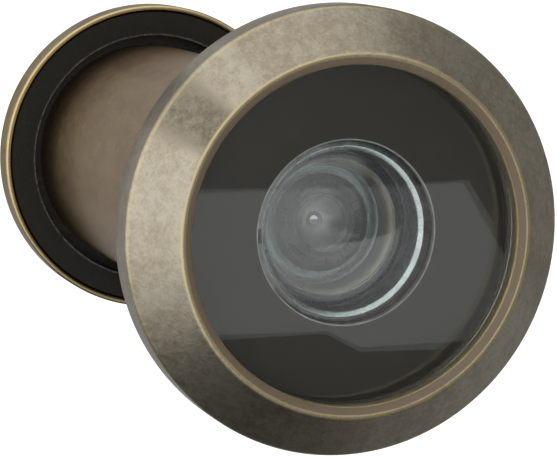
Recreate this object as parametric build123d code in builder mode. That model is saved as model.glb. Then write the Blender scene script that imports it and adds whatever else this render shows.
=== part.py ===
from build123d import *
import os

# Door viewer: an exterior half that carries the wide-angle lenses, and an interior half that screws
# on to it from the room side, clamping a door between the two flanges.
# Frame: the barrel's axis is Y. The origin is on that axis, in the plane of the exterior flange's
# seat on the door. The street is toward -Y, the room toward +Y, and +Z is up. Millimetres.

os.makedirs("parts", exist_ok=True)

# Door, tubes and thread
door_thickness = 38.0          # distance between the two seats with the viewer as assembled
closing_travel = 3.0           # how much further the halves screw together, for the thinnest door
spigot_radius = 7.7            # spigot and sleeve both pass a 5/8 in (15.9 mm) hole
sleeve_wall = 0.6              # outside the root of the sleeve's thread
barrel_wall = 0.7              # inside the root of the barrel's thread
thread_pitch = 1.0
thread_depth = 0.5
thread_half_width = 0.29       # half of a thread groove at its mouth, for 60 degree flanks
thread_clearance = 0.1         # radial, between the crests of the two threads

# Exterior bezel
bezel_radius = 12.7
rim_height = 2.3               # cylindrical rim, from the door to the foot of the bevel
rim_wall = 0.8
rim_setback = 0.1              # the rim stops this far short of the door
bevel_width = 2.6
bevel_height = 2.35
land_width = 0.6               # rolled land between the bevel's crest and the lens opening
land_drop = 0.35               # the land's inner edge lies this much lower than the crest
crest_round = 0.25
lip_round = 0.15
rim_round = 0.15

# Front lens and the blackened mask behind it
glass_recess = 0.8             # lens face below the lip of the bezel
lens_overlap = 0.4             # how far the lip reaches over the lens
lens_play = 0.05               # radial, lens in bezel
front_lens_edge = 1.6
front_lens_sag = 1.1
window_inset = 0.1             # window's radius short of the barrel's bore
mask_thickness = 0.1

# Objective barrel and its lens stack
barrel_end_gap = 0.95          # barrel's end clear of the eyepiece cell, for the thinnest door
shoulder_width = 0.7           # step at the back of the lens stack
spigot_length = 3.5
end_chamfer = 0.3
stack_play = 0.1               # radial, loose optics in the barrel
ring_setback = 0.2
ring_thickness = 1.0
ring_wall = 0.55
spanner_slot_width = 0.8
spanner_slot_depth = 0.35
second_lens_edge = 2.2
second_lens_sag = 1.6
second_lens_rim = 0.8          # flat rim round the ground surface
spacer_length = 2.0
spacer_wall = 0.7
third_lens_edge = 2.2
third_lens_sag = 0.75
third_lens_rim = 1.3
field_stop_thickness = 0.4
field_stop_rim = 2.2

# Interior flange and washer
cup_radius = 10.55
cup_wall = 0.35
cup_height = 2.55
cup_floor = 0.65
cup_bevel_width = 0.6
cup_bevel_height = 0.45
washer_gap = 0.73              # radial, washer clear of the sleeve
washer_play = 0.1              # radial, washer in cup
washer_setback = 0.15          # washer face below the cup's lip
washer_lift = 0.05             # washer clear of the cup's floor

# Interior sleeve and eyepiece
sleeve_gap = 0.5               # sleeve's open end clear of the spigot, for the thinnest door
tenon_step = 1.45              # the end of the sleeve is turned down, and staked through the flange
tenon_wall = 0.65
cell_depth = 4.2               # eyepiece cell, from the room face
web_thickness = 0.9
web_step = 2.0                 # the web's bore is this much narrower than the cell
cell_play = 0.05               # radial, loose optics in the eyepiece cell
eye_stop_thickness = 0.3
eye_stop_rim = 2.95
eye_lens_edge = 1.3
eye_lens_sag = 0.8
eye_ring_wall = 1.2
eye_ring_recess = 0.3
eye_ring_bevel = 0.5
coin_slot_width = 1.6
coin_slot_length = 2.0
coin_slot_depth = 0.35

# Places along Y that several pieces share
crest_y = -(rim_height + bevel_height)
lip_y = crest_y + land_drop
glass_y = lip_y + glass_recess
lens_back_y = glass_y + front_lens_edge
flange_front_y = lens_back_y + mask_thickness
ring_front_y = flange_front_y + ring_setback
second_lens_y = ring_front_y + ring_thickness
spacer_y = second_lens_y + second_lens_edge
third_lens_y = spacer_y + spacer_length
field_stop_y = third_lens_y + third_lens_edge
shoulder_y = field_stop_y + field_stop_thickness

room_face_y = door_thickness + cup_height
cup_floor_y = room_face_y - cup_floor
cell_floor_y = room_face_y - cell_depth
web_y = cell_floor_y - web_thickness
barrel_end_y = web_y - closing_travel - barrel_end_gap
sleeve_end_y = spigot_length + closing_travel + sleeve_gap
eye_lens_y = cell_floor_y + eye_stop_thickness
eye_ring_y = eye_lens_y + eye_lens_edge
eye_ring_face_y = room_face_y - eye_ring_recess

# Radii that several pieces share
crest_radius = bezel_radius - bevel_width
lip_radius = crest_radius - land_width
front_lens_radius = lip_radius + lens_overlap
flange_radius = bezel_radius - rim_wall
sleeve_root_radius = spigot_radius - sleeve_wall
sleeve_crest_radius = sleeve_root_radius - thread_depth
thread_radius = sleeve_crest_radius - thread_clearance
barrel_bore = thread_radius - thread_depth - barrel_wall
barrel_rear_bore = barrel_bore - shoulder_width
window_radius = barrel_bore - window_inset
optic_radius = barrel_bore - stack_play
second_lens_aperture = optic_radius - second_lens_rim
third_lens_aperture = optic_radius - third_lens_rim
cup_inner_radius = cup_radius - cup_wall
tenon_radius = spigot_radius - tenon_step
cell_radius = tenon_radius - tenon_wall
cell_optic_radius = cell_radius - cell_play
eye_opening = cell_radius - eye_ring_wall


def rings(part, radius, y):
    """The circular edges of a turned piece at one radius and one place along Y."""
    circles = part.edges().filter_by(GeomType.CIRCLE)
    return circles.filter_by(lambda e: abs(e.radius - radius) < 1e-3 and abs(e.arc_center.Y - y) < 1e-3)


def surface_radius(aperture, sag):
    """Radius of the sphere that sinks or rises by sag over a round aperture of this radius."""
    return (aperture**2 + sag**2) / (2 * sag)


# Exterior bezel: a turned brass ring whose bevel rises to a crest and rolls over on to the lens
with BuildPart() as exterior_bezel:
    with BuildSketch(Plane.XY):
        with BuildLine():
            Polyline(
                (bezel_radius, -rim_setback),
                (bezel_radius, -rim_height),
                (crest_radius, crest_y),
                (lip_radius, lip_y),
                (lip_radius, glass_y),
                (front_lens_radius + lens_play, glass_y),
                (front_lens_radius + lens_play, flange_front_y),
                (flange_radius, flange_front_y),
                (flange_radius, -rim_setback),
                close=True,
            )
        make_face()
    revolve(axis=Axis.Y)
    fillet(rings(exterior_bezel, bezel_radius, -rim_height), rim_round)
    fillet(rings(exterior_bezel, crest_radius, crest_y), crest_round)
    fillet(rings(exterior_bezel, lip_radius, lip_y), lip_round)
exterior_bezel.part.label = "exterior_bezel"
export_step(exterior_bezel.part, "parts/exterior_bezel.step")

# Objective barrel: flange, centring spigot and externally threaded tube, turned in one piece
with BuildPart() as objective_barrel:
    with BuildSketch(Plane.XY):
        with BuildLine():
            Polyline(
                (barrel_bore, flange_front_y),
                (flange_radius, flange_front_y),
                (flange_radius, 0),
                (spigot_radius, 0),
                (spigot_radius, spigot_length),
                (thread_radius, spigot_length),
                (thread_radius, barrel_end_y),
                (barrel_rear_bore, barrel_end_y),
                (barrel_rear_bore, shoulder_y),
                (barrel_bore, shoulder_y),
                close=True,
            )
        make_face()
    revolve(axis=Axis.Y)
    chamfer(rings(objective_barrel, spigot_radius, spigot_length), end_chamfer)
    chamfer(rings(objective_barrel, thread_radius, barrel_end_y), end_chamfer)
    groove_count = round((barrel_end_y - spigot_length) / thread_pitch) - 1
    with BuildSketch(Plane.XY):
        for turn in range(groove_count):
            groove_y = barrel_end_y - (turn + 1) * thread_pitch
            with BuildLine():
                Polyline(
                    (thread_radius, groove_y - thread_half_width),
                    (barrel_bore + barrel_wall, groove_y),
                    (thread_radius, groove_y + thread_half_width),
                    close=True,
                )
            make_face()
    revolve(axis=Axis.Y, mode=Mode.SUBTRACT)
objective_barrel.part.label = "objective_barrel"
export_step(objective_barrel.part, "parts/objective_barrel.step")

# Front lens: a plano-concave glass disc, flat to the street, with its window ground in the back
with BuildPart() as front_lens:
    with BuildSketch(Plane.XY):
        with BuildLine():
            Polyline(
                (0, lens_back_y - front_lens_sag),
                (0, glass_y),
                (front_lens_radius, glass_y),
                (front_lens_radius, lens_back_y),
                (window_radius, lens_back_y),
            )
            RadiusArc(
                (window_radius, lens_back_y),
                (0, lens_back_y - front_lens_sag),
                surface_radius(window_radius, front_lens_sag),
            )
        make_face()
    revolve(axis=Axis.Y)
front_lens.part.label = "front_lens"
export_step(front_lens.part, "parts/front_lens.step")

# Lens mask: a blackened shim behind the lens, which leaves only the window clear
with BuildPart() as lens_mask:
    with BuildSketch(Plane.XZ.offset(-lens_back_y)):
        Circle(front_lens_radius)
        Circle(window_radius, mode=Mode.SUBTRACT)
    extrude(amount=-mask_thickness)
lens_mask.part.label = "lens_mask"
export_step(lens_mask.part, "parts/lens_mask.step")

# Retaining ring: blackened brass, screwed into the mouth of the barrel with a spanner
with BuildPart() as retaining_ring:
    with BuildSketch(Plane.XZ.offset(-ring_front_y)):
        Circle(barrel_bore)
        Circle(barrel_bore - ring_wall, mode=Mode.SUBTRACT)
    extrude(amount=-ring_thickness)
    with BuildSketch(Plane.XZ.offset(-ring_front_y)):
        Rectangle(2 * barrel_bore, spanner_slot_width)
    extrude(amount=-spanner_slot_depth, mode=Mode.SUBTRACT)
retaining_ring.part.label = "retaining_ring"
export_step(retaining_ring.part, "parts/retaining_ring.step")

# Second lens: plano-concave, flat to the street
with BuildPart() as second_lens:
    with BuildSketch(Plane.XY):
        with BuildLine():
            Polyline(
                (0, spacer_y - second_lens_sag),
                (0, second_lens_y),
                (optic_radius, second_lens_y),
                (optic_radius, spacer_y),
                (second_lens_aperture, spacer_y),
            )
            RadiusArc(
                (second_lens_aperture, spacer_y),
                (0, spacer_y - second_lens_sag),
                surface_radius(second_lens_aperture, second_lens_sag),
            )
        make_face()
    revolve(axis=Axis.Y)
second_lens.part.label = "second_lens"
export_step(second_lens.part, "parts/second_lens.step")

# Lens spacer: a blackened tube that keeps the second and third lenses apart
with BuildPart() as lens_spacer:
    with BuildSketch(Plane.XZ.offset(-spacer_y)):
        Circle(optic_radius)
        Circle(optic_radius - spacer_wall, mode=Mode.SUBTRACT)
    extrude(amount=-spacer_length)
lens_spacer.part.label = "lens_spacer"
export_step(lens_spacer.part, "parts/lens_spacer.step")

# Third lens: biconcave
with BuildPart() as third_lens:
    third_lens_sphere = surface_radius(third_lens_aperture, third_lens_sag)
    with BuildSketch(Plane.XY):
        with BuildLine():
            RadiusArc(
                (0, third_lens_y + third_lens_sag),
                (third_lens_aperture, third_lens_y),
                third_lens_sphere,
            )
            Polyline(
                (third_lens_aperture, third_lens_y),
                (optic_radius, third_lens_y),
                (optic_radius, field_stop_y),
                (third_lens_aperture, field_stop_y),
            )
            RadiusArc(
                (third_lens_aperture, field_stop_y),
                (0, field_stop_y - third_lens_sag),
                third_lens_sphere,
            )
            Line((0, field_stop_y - third_lens_sag), (0, third_lens_y + third_lens_sag))
        make_face()
    revolve(axis=Axis.Y)
third_lens.part.label = "third_lens"
export_step(third_lens.part, "parts/third_lens.step")

# Field stop: a blackened disc against the barrel's inner shoulder
with BuildPart() as field_stop:
    with BuildSketch(Plane.XZ.offset(-field_stop_y)):
        Circle(optic_radius)
        Circle(optic_radius - field_stop_rim, mode=Mode.SUBTRACT)
    extrude(amount=-field_stop_thickness)
field_stop.part.label = "field_stop"
export_step(field_stop.part, "parts/field_stop.step")

# Interior sleeve: internally threaded tube with the eyepiece cell at its room end
with BuildPart() as interior_sleeve:
    with BuildSketch(Plane.XY):
        with BuildLine():
            Polyline(
                (sleeve_crest_radius, sleeve_end_y),
                (spigot_radius, sleeve_end_y),
                (spigot_radius, cup_floor_y),
                (tenon_radius, cup_floor_y),
                (tenon_radius, room_face_y),
                (cell_radius, room_face_y),
                (cell_radius, cell_floor_y),
                (cell_radius - web_step, cell_floor_y),
                (cell_radius - web_step, web_y),
                (sleeve_crest_radius, web_y),
                close=True,
            )
        make_face()
    revolve(axis=Axis.Y)
    chamfer(rings(interior_sleeve, spigot_radius, sleeve_end_y), end_chamfer)
    sleeve_groove_count = round((web_y - sleeve_end_y) / thread_pitch) - 1
    with BuildSketch(Plane.XY):
        for turn in range(sleeve_groove_count):
            sleeve_groove_y = sleeve_end_y + (turn + 1) * thread_pitch
            with BuildLine():
                Polyline(
                    (sleeve_crest_radius, sleeve_groove_y - thread_half_width),
                    (sleeve_root_radius, sleeve_groove_y),
                    (sleeve_crest_radius, sleeve_groove_y + thread_half_width),
                    close=True,
                )
            make_face()
    revolve(axis=Axis.Y, mode=Mode.SUBTRACT)
    with BuildSketch(Plane.XZ.offset(-room_face_y)):
        Rectangle(2 * (cell_radius + coin_slot_length), coin_slot_width)
    extrude(amount=coin_slot_depth, mode=Mode.SUBTRACT)
interior_sleeve.part.label = "interior_sleeve"
export_step(interior_sleeve.part, "parts/interior_sleeve.step")

# Interior flange: a drawn brass cup, open towards the door, staked on to the end of the sleeve
with BuildPart() as interior_flange:
    with BuildSketch(Plane.XY):
        with BuildLine():
            Polyline(
                (cup_inner_radius, door_thickness),
                (cup_radius, door_thickness),
                (cup_radius, room_face_y - cup_bevel_height),
                (cup_radius - cup_bevel_width, room_face_y),
                (tenon_radius, room_face_y),
                (tenon_radius, cup_floor_y),
                (cup_inner_radius, cup_floor_y),
                close=True,
            )
        make_face()
    revolve(axis=Axis.Y)
    with BuildSketch(Plane.XZ.offset(-room_face_y)):
        Rectangle(2 * (cell_radius + coin_slot_length), coin_slot_width)
    extrude(amount=coin_slot_depth, mode=Mode.SUBTRACT)
interior_flange.part.label = "interior_flange"
export_step(interior_flange.part, "parts/interior_flange.step")

# Interior washer: black fibre, loose in the cup, so that the flange turns without marking the door
with BuildPart() as interior_washer:
    with BuildSketch(Plane.XZ.offset(-(door_thickness + washer_setback))):
        Circle(cup_inner_radius - washer_play)
        Circle(spigot_radius + washer_gap, mode=Mode.SUBTRACT)
    extrude(amount=-(cup_height - cup_floor - washer_setback - washer_lift))
interior_washer.part.label = "interior_washer"
export_step(interior_washer.part, "parts/interior_washer.step")

# Eyepiece stop: a blackened disc on the floor of the eyepiece cell
with BuildPart() as eyepiece_stop:
    with BuildSketch(Plane.XZ.offset(-cell_floor_y)):
        Circle(cell_optic_radius)
        Circle(cell_optic_radius - eye_stop_rim, mode=Mode.SUBTRACT)
    extrude(amount=-eye_stop_thickness)
eyepiece_stop.part.label = "eyepiece_stop"
export_step(eyepiece_stop.part, "parts/eyepiece_stop.step")

# Eyepiece lens: plano-convex, domed to the room, with a flat rim for its ring
with BuildPart() as eyepiece_lens:
    with BuildSketch(Plane.XY):
        with BuildLine():
            Polyline(
                (0, eye_ring_y + eye_lens_sag),
                (0, eye_lens_y),
                (cell_optic_radius, eye_lens_y),
                (cell_optic_radius, eye_ring_y),
                (eye_opening, eye_ring_y),
            )
            RadiusArc(
                (eye_opening, eye_ring_y),
                (0, eye_ring_y + eye_lens_sag),
                -surface_radius(eye_opening, eye_lens_sag),
            )
        make_face()
    revolve(axis=Axis.Y)
eyepiece_lens.part.label = "eyepiece_lens"
export_step(eyepiece_lens.part, "parts/eyepiece_lens.step")

# Eyepiece ring: screwed into the cell over the lens, bevelled towards the eye
with BuildPart() as eyepiece_ring:
    with BuildSketch(Plane.XY):
        with BuildLine():
            Polyline(
                (eye_opening, eye_ring_y),
                (cell_radius, eye_ring_y),
                (cell_radius, eye_ring_face_y),
                (eye_opening + eye_ring_bevel, eye_ring_face_y),
                (eye_opening, eye_ring_face_y - eye_ring_bevel),
                close=True,
            )
        make_face()
    revolve(axis=Axis.Y)
    with BuildSketch(Plane.XZ.offset(-eye_ring_face_y)):
        Rectangle(2 * cell_radius, spanner_slot_width)
    extrude(amount=spanner_slot_depth, mode=Mode.SUBTRACT)
eyepiece_ring.part.label = "eyepiece_ring"
export_step(eyepiece_ring.part, "parts/eyepiece_ring.step")
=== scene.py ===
import bpy
import math
from mathutils import Matrix, Vector


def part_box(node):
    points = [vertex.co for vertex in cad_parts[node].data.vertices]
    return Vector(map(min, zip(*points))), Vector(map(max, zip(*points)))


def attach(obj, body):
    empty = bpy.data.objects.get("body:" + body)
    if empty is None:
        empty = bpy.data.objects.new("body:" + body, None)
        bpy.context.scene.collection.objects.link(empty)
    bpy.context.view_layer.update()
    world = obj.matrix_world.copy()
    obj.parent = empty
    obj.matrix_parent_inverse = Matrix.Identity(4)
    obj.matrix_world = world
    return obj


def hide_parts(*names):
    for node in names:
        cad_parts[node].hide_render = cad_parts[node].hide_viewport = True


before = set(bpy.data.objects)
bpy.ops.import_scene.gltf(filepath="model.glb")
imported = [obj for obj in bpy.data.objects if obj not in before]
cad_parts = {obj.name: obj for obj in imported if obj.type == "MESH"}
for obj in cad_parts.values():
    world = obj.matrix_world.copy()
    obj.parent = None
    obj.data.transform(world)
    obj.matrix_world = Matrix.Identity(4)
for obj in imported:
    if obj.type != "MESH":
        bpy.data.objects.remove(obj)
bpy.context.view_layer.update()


# ---------------------------------------------------------------------------------------------
# Exterior bezel: a turned brass ring with a straight rim, a wide bevel up to a crest, and a narrow
# land rolled over on to the lens. Browned with an antique finish, then relieved on its edges.
# ---------------------------------------------------------------------------------------------

mm = 0.001
rounded = 32           # corners below this angle, in degrees, are roundings and not edges


def in_edit_mode(mode="VERT"):
    bpy.ops.object.mode_set(mode="EDIT")
    bpy.ops.mesh.select_mode(type=mode)


def turned(name, outline, rounds=None, steps=256, closed=True, crease=rounded):
    """A piece turned about the barrel's axis. outline has (radius, y) corners in mm, and rounds the
    radius in mm of a corner that isn't sharp, by its number in the outline. crease is the angle,
    in degrees, above which a corner is shaded as an edge."""
    bpy.ops.object.select_all(action="DESELECT")
    bpy.ops.mesh.primitive_plane_add(size=mm)
    piece = bpy.context.object
    piece.name = piece.data.name = name
    in_edit_mode()
    bpy.ops.mesh.merge(type="CENTER")
    previous = Vector((0, 0, 0))
    for radius, y in outline:
        corner = Vector((radius * mm, y * mm, 0))
        if (radius, y) == outline[0]:
            bpy.ops.transform.translate(value=corner)
        else:
            bpy.ops.mesh.extrude_vertices_move(TRANSFORM_OT_translate={"value": corner - previous})
        previous = corner
    if closed:
        bpy.ops.mesh.select_all(action="DESELECT")
        pick_vertices(piece, [outline[0], outline[-1]])
        bpy.ops.mesh.edge_face_add()
    for number, radius in (rounds or {}).items():
        bpy.ops.mesh.select_all(action="DESELECT")
        pick_vertices(piece, [outline[number]])
        bpy.ops.mesh.bevel(offset=radius * mm, segments=6, affect="VERTICES", clamp_overlap=True)
    bpy.ops.mesh.select_all(action="SELECT")
    bpy.ops.mesh.spin(steps=steps, angle=math.tau, center=(0, 0, 0), axis=(0, 1, 0))
    bpy.ops.mesh.select_all(action="SELECT")
    bpy.ops.mesh.remove_doubles(threshold=0.0001 * mm)
    bpy.ops.mesh.normals_make_consistent(inside=False)
    bpy.ops.object.mode_set(mode="OBJECT")
    smooth(piece, crease)
    return piece


def smooth(piece, crease=rounded):
    """Shades a piece smooth across its small roundings, and keeps its wide faces flat."""
    bpy.ops.object.shade_smooth_by_angle(angle=math.radians(crease))
    weighted = piece.modifiers.new("flat_faces", "WEIGHTED_NORMAL")
    weighted.keep_sharp = True
    bpy.ops.object.modifier_apply(modifier=weighted.name)


def pick_vertices(piece, corners):
    """Selects the vertices of the outline in the XY plane that lie at these corners, in mm."""
    tolerance = 0.001
    bpy.ops.object.mode_set(mode="OBJECT")
    for vertex in piece.data.vertices:
        place = (vertex.co.x / mm, vertex.co.y / mm)
        vertex.select = any(math.dist(place, corner) < tolerance for corner in corners)
    in_edit_mode()


class Value:
    """A number that varies over a surface. Arithmetic on it adds Math nodes."""

    def __init__(self, finish, socket):
        self.finish, self.socket = finish, socket

    def math(self, operation, *others):
        inputs = dict(enumerate((self, *others)))
        return self.finish.node("ShaderNodeMath", {"operation": operation}, inputs)

    def __add__(self, other):
        return self.math("ADD", other)

    __radd__ = __add__

    def __mul__(self, other):
        return self.math("MULTIPLY", other)

    __rmul__ = __mul__

    def __sub__(self, other):
        return self.math("SUBTRACT", other)

    def __rsub__(self, other):
        return self * -1 + other

    def band(self, low, high):
        """0 below low, 1 above high, and smooth between them."""
        settings = {"interpolation_type": "SMOOTHSTEP"}
        inputs = {"Value": self, "From Min": low, "From Max": high}
        return self.finish.node("ShaderNodeMapRange", settings, inputs)

    def near(self, centre, reach):
        """1 at centre, falling to 0 at reach on either side."""
        return 1 - (self - centre).math("ABSOLUTE").band(0, reach)


class Finish:
    """A material and the nodes that make it."""

    def __init__(self, name, **constants):
        self.material = bpy.data.materials.new(name)
        self.material.use_nodes = True
        self.tree = self.material.node_tree
        self.shader = self.tree.nodes["Principled BSDF"]
        for socket, value in constants.items():
            self.shader.inputs[socket.replace("_", " ")].default_value = value

    def node(self, kind, settings=None, inputs=None, output=0):
        made = self.tree.nodes.new(kind)
        for setting, value in (settings or {}).items():
            setattr(made, setting, value)
        for socket, value in (inputs or {}).items():
            self.plug(made.inputs[socket], value)
        return Value(self, made.outputs[output])

    def plug(self, socket, value):
        if isinstance(value, Value):
            self.tree.links.new(value.socket, socket)
        elif socket.type == "RGBA" and len(value) == 3:
            socket.default_value = (*value, 1)
        else:
            socket.default_value = value

    def set(self, socket, value):
        self.plug(self.shader.inputs[socket], value)

    def place(self):
        """Object coordinates in mm."""
        coordinates = self.node("ShaderNodeTexCoord", output="Object")
        scaled = {0: coordinates, "Scale": 1 / mm}
        return self.node("ShaderNodeVectorMath", {"operation": "SCALE"}, scaled)

    def axes(self):
        """Distance from the barrel's axis and place along it, in mm."""
        split = self.node("ShaderNodeSeparateXYZ", inputs={0: self.place()})
        outputs = split.socket.node.outputs
        x, y, z = (Value(self, outputs[axis]) for axis in "XYZ")
        return (x * x + z * z).math("SQRT"), y

    def around(self):
        """The direction outwards from the barrel's axis, for what runs from it like spokes."""
        split = self.node("ShaderNodeSeparateXYZ", inputs={0: self.place()}).socket.node.outputs
        flat = {"X": Value(self, split["X"]), "Z": Value(self, split["Z"])}
        spoke = self.node("ShaderNodeCombineXYZ", inputs=flat)
        return self.node("ShaderNodeVectorMath", {"operation": "NORMALIZE"}, {0: spoke})

    def noise(self, scale, detail=4, roughness=0.6, distortion=0.0, vector=None, seed=0.0):
        inputs = {
            "Vector": vector or self.place(), "W": seed, "Scale": scale, "Detail": detail,
            "Roughness": roughness, "Distortion": distortion,
        }
        return self.node("ShaderNodeTexNoise", {"noise_dimensions": "4D"}, inputs)

    def blend(self, factor, first, second, way="MIX"):
        settings = {"data_type": "RGBA", "blend_type": way}
        return self.node("ShaderNodeMix", settings, {0: factor, 6: first, 7: second}, output=2)

    def bump(self, height, strength, distance):
        inputs = {"Height": height, "Strength": strength, "Distance": distance * mm}
        self.set("Normal", self.node("ShaderNodeBump", inputs=inputs))


def antique_brass(name, patina, browned, rubbed, edges, recess_shade=None, recess=None, smudge=None):
    """Browned brass: patina and browned are its two tones, rubbed is the bare metal on its edges,
    and the colour for a recess is painted shade, a matt darker brown put where shade falls. edges
    and recess say where the last two are, from the radius and the place along Y. smudge is the
    direction, in degrees, of a dark wipe mark."""
    finish = Finish(name)
    radius, y = finish.axes()
    clouds = finish.noise(0.32, detail=5, roughness=0.62, seed=1.7)
    mottle = finish.noise(1.9, detail=6, roughness=0.7, distortion=0.4, seed=4.2)
    grain = finish.noise(7.0, detail=4, roughness=0.65, seed=8.5)
    streaks = finish.noise(3.4, detail=5, roughness=0.55, vector=finish.around(), seed=2.6)
    tone = (clouds * 0.7 + mottle * 0.9 + grain * 0.7 + streaks * 1.0 - 1.15).band(0.2, 0.8)
    colour = finish.blend(tone, browned, patina)
    if smudge:
        angle = math.radians(smudge)
        inputs = {0: finish.around(), 1: Vector((math.cos(angle), 0, math.sin(angle)))}
        settings = {"operation": "DOT_PRODUCT"}
        aligned = finish.node("ShaderNodeVectorMath", settings, inputs, output="Value")
        blotches = (clouds * 0.8 + mottle * 1.2 + grain * 0.8 - 0.8).band(0.1, 0.9)
        grime = tuple(0.5 * channel for channel in browned)
        colour = finish.blend(aligned.band(0.982, 0.9998) * blotches, colour, grime)
    # painted shade: this mask paints the recess a matt darker colour and takes its metal shine down
    dull_shade = recess(radius, y) * (0.75 + mottle * 0.5) if recess else 0.0
    if recess:
        colour = finish.blend(dull_shade, colour, recess_shade)
    wear = (edges(radius, y) * (clouds * 0.7 + mottle * 1.0 + grain * 0.6 - 0.35)).band(0.15, 0.7)
    finish.set("Base Color", finish.blend(wear, colour, rubbed))
    finish.set("Metallic", 1 - dull_shade * (1 - wear) * 0.8 if recess else 1.0)
    finish.set("Roughness", 0.27 + mottle * 0.14 - wear * 0.06 + dull_shade * 0.2)
    finish.bump(clouds * 1.2 + mottle * 0.6 + grain * 0.3, 0.45, 0.05)
    return finish


def dress(piece, finish, body, slot, *nodes):
    """Gives a piece its finish, the body that it moves with, and the CAD nodes it stands for."""
    piece.data.materials.clear()
    piece.data.materials.append(finish.material)
    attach(piece, body)
    if nodes:
        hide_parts(*nodes)


_, bezel_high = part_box("exterior_bezel")
lens_low, lens_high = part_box("front_lens")
bezel_radius = bezel_high.x / mm
rim_end = bezel_high.y / mm            # the rim stops just short of the door
bevel_foot = -2.3
crest_radius, crest_y = 10.1, -4.65
lip_radius, lip_y = 9.5, -4.3
glass_y = lens_low.y / mm
lens_clearance = 0.05
pocket_radius = lens_high.x / mm + lens_clearance
flange_front = -1.8
flange_radius = 11.9

bezel = turned(
    "bezel_ring",
    [
        (bezel_radius, rim_end), (bezel_radius, bevel_foot), (crest_radius, crest_y),
        (lip_radius, lip_y), (lip_radius, glass_y), (pocket_radius, glass_y),
        (pocket_radius, flange_front), (flange_radius, flange_front), (flange_radius, rim_end),
    ],
    {0: 0.1, 1: 0.16, 2: 0.26, 3: 0.16, 4: 0.05},
    steps=320,
)
bezel_brass = antique_brass(
    "antique_brass_bezel",
    patina=(0.39, 0.355, 0.28), browned=(0.255, 0.215, 0.155), rubbed=(0.47, 0.395, 0.235),
    edges=lambda radius, y: (
        radius.near(bezel_radius - 0.1, 0.26) * y.near(bevel_foot - 0.08, 0.32) * 0.55
        + radius.near(crest_radius - 0.02, 0.24)
        + radius.near(lip_radius, 0.12) * (1 - y.band(glass_y - 0.2, glass_y))
    ),
    # painted shade: the land between the crest and the lip is painted a matt darker brown
    recess_shade=(0.125, 0.092, 0.055),
    recess=lambda radius, y: (
        (1 - radius.band(crest_radius - 0.2, crest_radius - 0.05)) * (1 - y.band(lip_y, glass_y))
    ),
    smudge=143,
)
dress(bezel, bezel_brass, "exterior", "antique_brass", "exterior_bezel")


# ---------------------------------------------------------------------------------------------
# Front lens: a ground glass disc, flat to the street, with a shallow round window ground in its
# back. The lip of the bezel holds it, and a blackened shim behind it leaves the window clear.
# ---------------------------------------------------------------------------------------------

def hollow(radius, sag, y, towards):
    """Points of a ground surface from its rim, at y, to the axis, where it lies sag further along
    Y if towards is 1, and sag less if it is -1. All are in mm."""
    facets = 18
    sphere = (radius * radius + sag * sag) / (2 * sag)
    points = []
    for step in range(facets + 1):
        r = radius * (1 - step / facets)
        depth = math.sqrt(sphere * sphere - r * r) - (sphere - sag)
        points.append((r, y + towards * depth))
    return points


def optical_glass(name, tint, ground):
    """Polished and coated optical glass, left ground and milky outside the radius called ground."""
    finish = Finish(
        name, Base_Color=(*tint, 1), IOR=1.52, Transmission_Weight=1.0, Specular_IOR_Level=0.4
    )
    radius, y = finish.axes()
    rim = radius.band(ground, ground + 0.03)
    powder = finish.noise(0.8, detail=2, seed=7.0)
    finish.set("Roughness", rim * (0.4 + powder * 0.2))
    return finish


lens_radius = lens_high.x / mm
lens_back = lens_high.y / mm
window_radius, window_sag = 5.2, 1.1
ground_edge = 18       # a ground hollow meets its flat rim at more than this, in degrees
front_lens = turned(
    "front_lens_disc",
    [(0, glass_y), (lens_radius, glass_y), (lens_radius, lens_back)]
    + hollow(window_radius, window_sag, lens_back, -1),
    {1: 0.12, 2: 0.08},
    closed=False,
    crease=ground_edge,
)
front_glass = optical_glass("crown_glass", (0.93, 0.97, 0.96), ground=lens_radius - 0.13)
dress(front_lens, front_glass, "exterior", "lens_glass", "front_lens")

mask_low, mask_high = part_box("lens_mask")
mask_front, mask_back = mask_low.y / mm + 0.01, mask_high.y / mm     # a little clear of the glass
mask_radius = lens_radius - 0.02
mask = turned(
    "blackened_mask",
    [
        (window_radius, mask_front), (mask_radius, mask_front),
        (mask_radius, mask_back), (window_radius, mask_back),
    ],
)
lacquer = Finish("mask_lacquer", Specular_IOR_Level=0.0)
lacquer_radius, _ = lacquer.axes()
lacquer_cloud = lacquer.noise(0.5, detail=4, seed=2.0)
window_edge = 1 - lacquer_radius.band(window_radius + 0.04, window_radius + 0.09)
# painted highlight: the lacquer at the window's edge is painted pale grey, broken up by noise
window_edge_highlight = window_edge * (lacquer.noise(1.1, detail=3, seed=3.0) * 1.5 + 0.1)
lacquer_tone = lacquer.blend(lacquer_cloud, (0.034, 0.029, 0.021), (0.050, 0.042, 0.031))
lacquer.set("Base Color", lacquer.blend(window_edge_highlight, lacquer_tone, (0.42, 0.42, 0.40)))
lacquer.set("Roughness", 0.7 + lacquer_cloud * 0.1)
lacquer.bump(lacquer_cloud, 0.05, 0.005)
dress(mask, lacquer, "exterior", "black_mask", "lens_mask")


# ---------------------------------------------------------------------------------------------
# Lens stack: a blackened retaining ring with two spanner slots, the plano-concave second lens, a
# blackened spacer, the biconcave third lens and the field stop, dropped into the barrel in turn.
# ---------------------------------------------------------------------------------------------

def cut_slot(piece, width, inner, outer, low, high):
    """Cuts a straight slot across a turned piece in two lengths, from the inner to the outer
    radius on either side, and from low to high along Y, all in mm."""
    for side in (-1, 1):
        bpy.ops.object.select_all(action="DESELECT")
        middle = (side * (inner + outer) / 2 * mm, (low + high) / 2 * mm, 0)
        size = ((outer - inner) * mm, (high - low) * mm, width * mm)
        bpy.ops.mesh.primitive_cube_add(size=1, location=middle, scale=size)
        cutter = bpy.context.object
        bpy.context.view_layer.objects.active = piece
        modifier = piece.modifiers.new("slot", "BOOLEAN")
        modifier.object, modifier.operation, modifier.solver = cutter, "DIFFERENCE", "EXACT"
        bpy.ops.object.modifier_apply(modifier=modifier.name)
        bpy.data.objects.remove(cutter)
    piece.select_set(True)
    smooth(piece)


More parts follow.
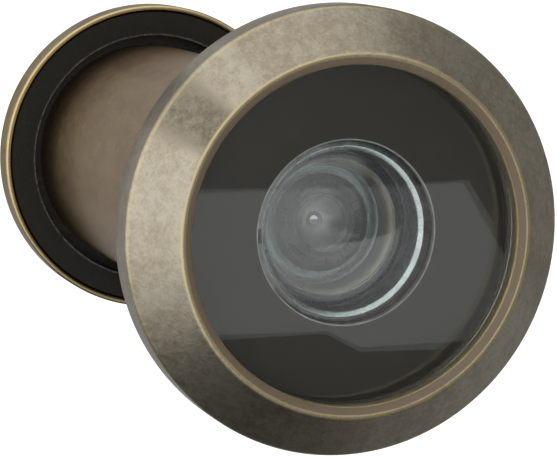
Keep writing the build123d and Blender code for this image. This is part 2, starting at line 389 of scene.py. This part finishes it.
ring_low, ring_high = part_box("retaining_ring")
ring_front, ring_back = ring_low.y / mm, ring_high.y / mm
barrel_bore, ring_inner, chamfer = ring_high.x / mm, 4.75, 0.2
spanner_width, spanner_depth = 0.8, 0.35
ring = turned(
    "spanner_ring",
    [
        (ring_inner, ring_back), (ring_inner, ring_front + chamfer),
        (ring_inner + chamfer, ring_front), (barrel_bore, ring_front), (barrel_bore, ring_back),
    ],
    {1: 0.05, 2: 0.04},
)
cut_slot(
    ring, spanner_width, ring_inner + chamfer, barrel_bore + 1,
    ring_front - 0.5, ring_front + spanner_depth,
)


def blackened_brass(name, bare=None):
    """Brass blackened against glare, rubbed thin in places by the tools that turned it. bare is
    where it was turned bright afterwards, from the radius and the place along Y."""
    finish = Finish(name, Metallic=1.0)
    radius, y = finish.axes()
    cloud = finish.noise(1.2, detail=5, seed=3.3)
    tool_path = {"W": radius * 30 + y * 30, "Scale": 1.0}
    lathe = finish.node("ShaderNodeTexNoise", {"noise_dimensions": "1D"}, tool_path)
    worn = (cloud * 0.6 + lathe * 0.7).band(0.62, 0.95)
    colour = finish.blend(worn, (0.10, 0.10, 0.10), (0.42, 0.40, 0.36))
    turned_bright = bare(radius, y) if bare else 0.0
    if bare:
        bright = finish.blend(cloud, (0.42, 0.46, 0.46), (0.80, 0.84, 0.83))
        colour = finish.blend(turned_bright, colour, bright)
    finish.set("Base Color", colour)
    finish.set("Roughness", 0.42 - worn * 0.12 - turned_bright * 0.14)
    finish.bump(lathe, 0.25, 0.01)
    return finish


blackened = blackened_brass("blackened_brass_turned")
chamfer_radius = ring_inner + chamfer
ring_finish = blackened_brass(
    "blackened_brass_bright_chamfer",
    bare=lambda radius, y: 1 - radius.band(chamfer_radius - 0.02, chamfer_radius + 0.03),
)
dress(ring, ring_finish, "exterior", "blackened_brass", "retaining_ring")

second_low, second_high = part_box("second_lens")
second_front, second_back = second_low.y / mm, second_high.y / mm
optic_radius = second_high.x / mm
second_lens = turned(
    "second_lens_disc",
    [(0, second_front), (optic_radius, second_front), (optic_radius, second_back)]
    + hollow(4.4, 1.6, second_back, -1),
    {1: 0.15, 2: 0.1},
    closed=False,
    crease=ground_edge,
)
second_glass = optical_glass("flint_glass", (0.97, 0.98, 0.99), ground=4.85)
dress(second_lens, second_glass, "exterior", "lens_glass", "second_lens")

spacer_low, spacer_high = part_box("lens_spacer")
spacer_bore = optic_radius - 0.7
groove_depth, groove_step, groove_corners = 0.12, 0.2, 9
spacer_front, spacer_back = spacer_low.y / mm, spacer_high.y / mm
grooves = [
    (spacer_bore + groove_depth * (corner % 2), spacer_back - groove_step * corner)
    for corner in range(1, groove_corners + 1)
]
spacer = turned(
    "spacer_tube",
    [
        (spacer_bore, spacer_front), (optic_radius, spacer_front), (optic_radius, spacer_back),
        (spacer_bore, spacer_back),
    ] + grooves,
    {1: 0.08, 2: 0.08},
)
spacer_finish = blackened_brass(
    "blackened_brass_bright_bore",
    bare=lambda radius, y: 1 - radius.band(optic_radius - 0.5, optic_radius - 0.4),
)
dress(spacer, spacer_finish, "exterior", "blackened_brass", "lens_spacer")

third_low, third_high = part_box("third_lens")
third_front, third_back = third_low.y / mm, third_high.y / mm
third_hollow, third_sag = 3.9, 0.75
third_lens = turned(
    "third_lens_disc",
    hollow(third_hollow, third_sag, third_front, 1)[::-1]
    + [(optic_radius, third_front), (optic_radius, third_back)]
    + hollow(third_hollow, third_sag, third_back, -1),
    closed=False,
    crease=ground_edge,
)
third_glass = optical_glass(
    "flint_glass_small", (0.97, 0.98, 0.99), ground=third_hollow + 0.02
)
dress(third_lens, third_glass, "exterior", "lens_glass", "third_lens")

stop_low, stop_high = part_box("field_stop")
stop_front, stop_back = stop_low.y / mm, stop_high.y / mm
stop_mouth, stop_throat = 3.3, 3.0
field_stop = turned(
    "field_stop_disc",
    [
        (stop_throat, stop_back), (stop_mouth, stop_front), (optic_radius, stop_front),
        (optic_radius, stop_back),
    ],
    {1: 0.05},
)
dress(field_stop, blackened, "exterior", "blackened_brass", "field_stop")


# ---------------------------------------------------------------------------------------------
# Objective barrel: flange, centring spigot and externally threaded tube, turned in one piece of
# brass and browned like the bezel, which is pressed over its flange.
# ---------------------------------------------------------------------------------------------

_, barrel_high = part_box("objective_barrel")
barrel_end = barrel_high.y / mm
spigot_radius, spigot_length, lead_in = 7.7, 3.5, 0.3
thread_radius, thread_root, thread_pitch = 6.5, 6.0, 1.0
thread_start, thread_turns = 4.0, 26
shoulder, shoulder_width = stop_back, 0.7
rear_bore = barrel_bore - shoulder_width
barrel = turned(
    "barrel_body",
    [
        (barrel_bore, flange_front), (flange_radius, flange_front), (flange_radius, 0),
        (spigot_radius, 0), (spigot_radius, spigot_length - lead_in),
        (spigot_radius - lead_in, spigot_length), (thread_root, spigot_length),
        (thread_root, barrel_end), (rear_bore, barrel_end), (rear_bore, shoulder),
        (barrel_bore, shoulder),
    ],
    {2: 0.08, 4: 0.05, 5: 0.05, 7: 0.1, 8: 0.1},
)


def threaded(name, root, crest, pitch, start, turns, steps=72):
    """A right-hand screw thread: one ridge wound round the root, from start along Y, in mm. Its
    section is drawn from its far end, because screw winds towards the first corner's side. Its
    foot is sunk in the tube, where the two ends are filled and bridged to close the shell."""
    bpy.ops.object.select_all(action="DESELECT")
    bpy.ops.mesh.primitive_plane_add(size=mm)
    ridge = bpy.context.object
    ridge.name = ridge.data.name = name
    in_edit_mode()
    bpy.ops.mesh.merge(type="CENTER")
    sunk = root + (root - crest) * 0.1
    flat_start, flat_end = 0.37 * pitch, 0.63 * pitch
    section = [(sunk, pitch), (crest, flat_end), (crest, flat_start), (sunk, 0)]
    previous = Vector((0, 0, 0))
    for radius, y in section:
        corner = Vector((radius * mm, (start + y) * mm, 0))
        if previous.length == 0:
            bpy.ops.transform.translate(value=corner)
        else:
            bpy.ops.mesh.extrude_vertices_move(TRANSFORM_OT_translate={"value": corner - previous})
        previous = corner
    bpy.ops.mesh.select_all(action="SELECT")
    bpy.ops.mesh.screw(steps=steps, turns=1, center=(0, 0, 0), axis=(0, 1, 0))
    bpy.ops.object.mode_set(mode="OBJECT")
    array = ridge.modifiers.new("turns", "ARRAY")
    array.use_relative_offset, array.use_constant_offset = False, True
    array.constant_offset_displace = (0, pitch * mm, 0)
    array.count = turns
    bpy.ops.object.modifier_apply(modifier=array.name)
    in_edit_mode()
    bpy.ops.mesh.select_all(action="SELECT")
    bpy.ops.mesh.remove_doubles(threshold=0.0005 * mm)
    for end in (start, start + turns * pitch):
        bpy.ops.mesh.select_all(action="DESELECT")
        pick_vertices(ridge, [(radius, end + y) for radius, y in section])
        bpy.ops.mesh.edge_face_add()
    bpy.ops.mesh.select_mode(type="EDGE")
    bpy.ops.mesh.select_non_manifold(extend=False)
    bpy.ops.mesh.bridge_edge_loops()
    bpy.ops.mesh.select_all(action="SELECT")
    bpy.ops.mesh.normals_make_consistent(inside=False)
    bpy.ops.object.mode_set(mode="OBJECT")
    smooth(ridge)
    return ridge


barrel_brass = antique_brass(
    "antique_brass_barrel",
    patina=(0.39, 0.34, 0.25), browned=(0.255, 0.205, 0.14), rubbed=(0.56, 0.45, 0.25),
    edges=lambda radius, y: (
        radius.near(thread_radius, 0.12)
        + radius.near(spigot_radius, 0.1) * y.near(spigot_length - 0.2, 0.4)
    ),
)
dress(barrel, barrel_brass, "exterior", "antique_brass", "objective_barrel")
barrel_thread = threaded(
    "barrel_thread", thread_root, thread_radius, thread_pitch, thread_start, thread_turns
)
dress(barrel_thread, barrel_brass, "exterior", "antique_brass")


# ---------------------------------------------------------------------------------------------
# Interior sleeve: a plain brass tube, threaded inside, with the eyepiece cell at its room end. Its
# outside is satin brown, because the door's hole hides it and nothing rubs it bright, and its
# bore is matt and painted darker as shade.
# ---------------------------------------------------------------------------------------------

sleeve_low, sleeve_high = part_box("interior_sleeve")
flange_low, flange_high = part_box("interior_flange")
sleeve_start, room_face = sleeve_low.y / mm, sleeve_high.y / mm
cup_radius, cup_lip = flange_high.x / mm, flange_low.y / mm
cup_sheet = 0.65
cup_floor = room_face - cup_sheet
tenon_radius, cell_radius, eye_opening = 6.25, 5.6, 4.4
cell_floor, web_front = room_face - 4.2, room_face - 5.1
web_opening = cell_radius - 2.0
sleeve_bore, sleeve_crest = 7.1, thread_radius + 0.1
sleeve = turned(
    "sleeve_tube",
    [
        (sleeve_bore, sleeve_start), (spigot_radius - lead_in, sleeve_start),
        (spigot_radius, sleeve_start + lead_in), (spigot_radius, cup_floor),
        (tenon_radius, cup_floor), (tenon_radius, room_face), (cell_radius, room_face),
        (cell_radius, cell_floor), (web_opening, cell_floor), (web_opening, web_front),
        (sleeve_bore, web_front),
    ],
    {0: 0.1, 1: 0.06, 2: 0.06, 5: 0.05, 6: 0.08},
)
slot_width, slot_depth = 1.6, 0.35
slot_floor, slot_reach = room_face - slot_depth, cell_radius + 2.0
cut_slot(sleeve, slot_width, eye_opening, slot_reach, slot_floor, room_face + 1)
sleeve_brass = antique_brass(
    "antique_brass_sleeve",
    patina=(0.375, 0.268, 0.158), browned=(0.27, 0.185, 0.108), rubbed=(0.56, 0.45, 0.25),
    edges=lambda radius, y: radius.near(spigot_radius - 0.1, 0.2) * y.near(sleeve_start + 0.1, 0.4),
    # painted shade: the bore is painted a matt darker brown
    recess_shade=(0.20, 0.16, 0.11),
    recess=lambda radius, y: 1 - radius.band(sleeve_bore + 0.02, sleeve_bore + 0.12),
)
dress(sleeve, sleeve_brass, "interior", "antique_brass", "interior_sleeve")
sleeve_thread = threaded(
    "sleeve_thread", sleeve_bore, sleeve_crest, thread_pitch, sleeve_start + 0.5, thread_turns
)
dress(sleeve_thread, sleeve_brass, "interior", "antique_brass")


# ---------------------------------------------------------------------------------------------
# Interior flange: a thin cup drawn from brass sheet, open towards the door, with a bright worn lip.
# It is staked on to the end of the sleeve, and a coin fits the slot across its room face.
# ---------------------------------------------------------------------------------------------

cup_inner = cup_radius - 0.35
rim_bevel, rim_height = 0.6, 0.45
flange = turned(
    "flange_cup",
    [
        (cup_inner, cup_lip), (cup_radius, cup_lip), (cup_radius, room_face - rim_height),
        (cup_radius - rim_bevel, room_face), (tenon_radius, room_face),
        (tenon_radius, cup_floor), (cup_inner, cup_floor),
    ],
    {0: 0.12, 1: 0.16, 2: 0.2, 3: 0.15, 6: 0.15},
    steps=320,
)
cut_slot(flange, slot_width, eye_opening, slot_reach, slot_floor, room_face + 1)
flange_brass = antique_brass(
    "antique_brass_flange",
    patina=(0.37, 0.285, 0.135), browned=(0.23, 0.165, 0.075), rubbed=(0.52, 0.425, 0.235),
    edges=lambda radius, y: (
        y.near(cup_lip, 0.1) * 1.2
        + radius.near(cup_radius - 0.4, 0.5) * y.near(room_face - 0.1, 0.5)
    ),
    # painted shade: the cup floor inside the lip is painted near black
    recess_shade=(0.014, 0.012, 0.009),
    recess=lambda radius, y: (
        (1 - radius.band(cup_inner - 0.05, cup_inner + 0.05))
        * (1 - y.band(cup_floor + 0.1, cup_floor + 0.2))
    ),
)
dress(flange, flange_brass, "interior", "antique_brass", "interior_flange")


# ---------------------------------------------------------------------------------------------
# Interior washer: a ring punched from black fibre, loose in the cup, so that the flange can be
# tightened without marking the door. It slides along with the flange and doesn't turn.
# ---------------------------------------------------------------------------------------------

washer_low, washer_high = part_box("interior_washer")
washer_front, washer_back = washer_low.y / mm, washer_high.y / mm
washer_inner, washer_outer = spigot_radius + 0.73, washer_high.x / mm
washer = turned(
    "fibre_washer",
    [
        (washer_inner, washer_front), (washer_outer, washer_front),
        (washer_outer, washer_back), (washer_inner, washer_back),
    ],
    {0: 0.14, 1: 0.1},
)
fibre = Finish("black_fibre_sheet", Specular_IOR_Level=0.15)
fibre_radius, fibre_y = fibre.axes()
strands = fibre.noise(2.4, detail=8, roughness=0.75, distortion=1.5, seed=5.0)
lint = fibre.noise(8.0, detail=3, seed=9.0).band(0.62, 0.74)
# painted highlight: a pale grey line along the washer's inner front edge, broken up by the strands;
# the lint specks are real
washer_edge_highlight = fibre_radius.near(washer_inner + 0.05, 0.13) * fibre_y.near(washer_front, 0.2)
fibre_tone = fibre.blend(strands, (0.005, 0.005, 0.004), (0.022, 0.020, 0.016))
broken = (strands * 1.6 - 0.35).band(0.2, 0.7)
lint_and_highlight = washer_edge_highlight * broken + lint * 0.2
fibre.set("Base Color", fibre.blend(lint_and_highlight, fibre_tone, (0.17, 0.17, 0.155)))
fibre.set("Roughness", 0.62 + strands * 0.2 - washer_edge_highlight * 0.2)
fibre.bump(strands, 0.5, 0.03)
dress(washer, fibre, "clamping_washer", "black_fibre", "interior_washer")


# ---------------------------------------------------------------------------------------------
# Eyepiece: a blackened stop on the floor of the cell, a domed glass lens, and a blackened ring
# screwed in over it with a spanner.
# ---------------------------------------------------------------------------------------------

eye_stop_low, eye_stop_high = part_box("eyepiece_stop")
eye_stop_front, eye_stop_back = eye_stop_low.y / mm, eye_stop_high.y / mm
eye_stop_radius, eye_stop_throat, eye_stop_mouth = eye_stop_high.x / mm, 2.6, 2.75
eye_stop = turned(
    "eyepiece_stop_disc",
    [
        (eye_stop_throat, eye_stop_front), (eye_stop_radius, eye_stop_front),
        (eye_stop_radius, eye_stop_back), (eye_stop_mouth, eye_stop_back),
    ],
    {3: 0.05},
)
dress(eye_stop, blackened, "interior", "blackened_brass", "eyepiece_stop")

eye_low, eye_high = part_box("eyepiece_lens")
eye_ring_low, eye_ring_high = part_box("eyepiece_ring")
eye_seat, eye_ring_face, eye_ring_chamfer = eye_ring_low.y / mm, eye_ring_high.y / mm, 0.5
eye_radius, eye_front, dome_height = eye_high.x / mm, eye_low.y / mm, eye_high.y / mm - eye_seat
eye_lens = turned(
    "eyepiece_dome",
    [(0, eye_front), (eye_radius, eye_front), (eye_radius, eye_seat)]
    + hollow(eye_opening, dome_height, eye_seat, 1),
    {1: 0.1, 2: 0.08},
    closed=False,
    crease=ground_edge,
)
smoked_glass = optical_glass("smoked_glass", (0.34, 0.37, 0.39), ground=eye_opening + 0.1)
dress(eye_lens, smoked_glass, "interior", "lens_glass", "eyepiece_lens")

eye_ring = turned(
    "eyepiece_spanner_ring",
    [
        (eye_opening, eye_seat), (cell_radius, eye_seat), (cell_radius, eye_ring_face),
        (eye_opening + eye_ring_chamfer, eye_ring_face),
        (eye_opening, eye_ring_face - eye_ring_chamfer),
    ],
    {2: 0.08, 3: 0.08, 4: 0.08},
)
cut_slot(
    eye_ring, spanner_width, eye_opening - 1, cell_radius + 1,
    eye_ring_face - spanner_depth, eye_ring_face + 1,
)
dress(eye_ring, blackened, "interior", "blackened_brass", "eyepiece_ring")


# ---------------------------------------------------------------------------------------------
# Studio: a pale floor well below the viewer, a wide soft light from the upper left, a weaker one
# from behind, dark below and in front, a white card for the front lens to reflect, and a camera
# to the left of the barrel's axis and a little above it.
# ---------------------------------------------------------------------------------------------

floor_size, floor_edge, floor_drop = 16, -1.2, 0.32
bpy.ops.object.select_all(action="DESELECT")
floor_middle = (0, floor_edge + floor_size / 2, -floor_drop)
bpy.ops.mesh.primitive_plane_add(size=floor_size, location=floor_middle)
floor = bpy.context.object
floor.name = "floor"
paper = Finish("pale_paper", Roughness=0.9, Emission_Strength=0.3)
paper_cloud = paper.noise(0.002, detail=2, seed=1.0)
paper.set("Base Color", paper.blend(paper_cloud, (0.93, 0.93, 0.93), (0.97, 0.97, 0.97)))
paper.set("Emission Color", paper.blend(paper_cloud, (0.98, 0.98, 0.98), (1.0, 1.0, 1.0)))
floor.data.materials.append(paper.material)
floor.visible_glossy = False


class Sky(Finish):
    """The world's light, made with the same nodes as a finish."""

    def __init__(self, name):
        self.world = bpy.data.worlds.new(name)
        self.world.use_nodes = True
        self.tree = self.world.node_tree
        self.shader = self.tree.nodes["Background"]

    def facing(self, direction):
        """The cosine between each direction and this one."""
        coordinates = self.node("ShaderNodeTexCoord", output="Generated")
        inputs = {0: coordinates, 1: Vector(direction).normalized()}
        settings = {"operation": "DOT_PRODUCT"}
        return self.node("ShaderNodeVectorMath", settings, inputs, output="Value")


sky = Sky("studio")
key = sky.facing((-0.72, -0.42, 0.55)).band(0.08, 0.3)
side = sky.facing((-1.0, -0.4, -0.1)).band(0.0, 1.0)
behind = sky.facing((-0.3, 0.94, -0.1)).band(0.3, 0.9)
hall = sky.facing((0.0, 1.0, 0.0)).band(0.96, 0.995)
below = sky.facing((-0.3, -0.15, -0.95)).band(0.45, 0.95)
front = sky.facing((0.27, -0.95, -0.08)).band(0.95, 0.985)
lit = (0.34 + key * (0.9 + side * 0.3) + behind * 0.11) * (1 - below * 0.7) * (1 - hall * 0.8)
lit = lit * (1 - front * 0.4)
seen = sky.node("ShaderNodeLightPath", output="Is Camera Ray")
sky.set("Color", (1, 1, 1))
sky.set("Strength", lit * (1 - seen) + seen)
bpy.context.scene.world = sky.world

bpy.ops.mesh.primitive_plane_add(size=mm, location=(0, 0, 0))
card = bpy.context.object
card.name = "reflector_card"
in_edit_mode()
bpy.ops.mesh.merge(type="CENTER")
card_y = -0.8
card_corners = [
    (0.05, -0.100), (0.326, -0.100), (0.343, -0.128), (0.343, -0.161), (0.285, -0.161),
    (0.272, -0.154), (0.05, -0.150),
]
previous = Vector((0, 0, 0))
for x, z in card_corners:
    corner = Vector((x, card_y, z))
    if previous.length == 0:
        bpy.ops.transform.translate(value=corner)
    else:
        bpy.ops.mesh.extrude_vertices_move(TRANSFORM_OT_translate={"value": corner - previous})
    previous = corner
bpy.ops.mesh.select_all(action="SELECT")
bpy.ops.mesh.edge_face_add()
bpy.ops.object.mode_set(mode="OBJECT")
white_card = Finish("white_card", Roughness=0.9, Emission_Strength=0.84)
card_cloud = white_card.noise(0.02, detail=2, seed=1.0)
white_card.set("Base Color", white_card.blend(card_cloud, (0.0, 0.0, 0.0), (0.02, 0.02, 0.02)))
white_card.set("Emission Color", white_card.blend(card_cloud, (0.92, 0.93, 0.95), (1.0, 1.0, 0.98)))
card.data.materials.append(white_card.material)
card.visible_camera = False

azimuth, elevation = math.radians(-17.9), math.radians(7.85)
right = Vector((math.cos(azimuth), math.sin(azimuth), 0))
ahead = Vector((-math.sin(azimuth), math.cos(azimuth), 0))
up = ahead * math.sin(elevation) + Vector((0, 0, math.cos(elevation)))
back_axis = right.cross(up)
reach, aside, above = (share * bezel_radius * mm for share in (12, 0.296, 0.0105))
aim = Vector((0, bevel_foot * mm, 0)) - aside * right + above * up
camera = bpy.data.objects.new("camera", bpy.data.cameras.new("camera"))
bpy.context.scene.collection.objects.link(camera)
turn = Matrix((right, up, back_axis)).transposed().to_4x4()
camera.matrix_world = Matrix.Translation(aim + reach * back_axis) @ turn
camera.data.lens = 176.6
camera.data.sensor_width = 36
camera.data.clip_start = 0.01
camera.data.clip_end = 50
bpy.context.scene.camera = camera
bpy.context.scene.view_settings.view_transform = "Standard"
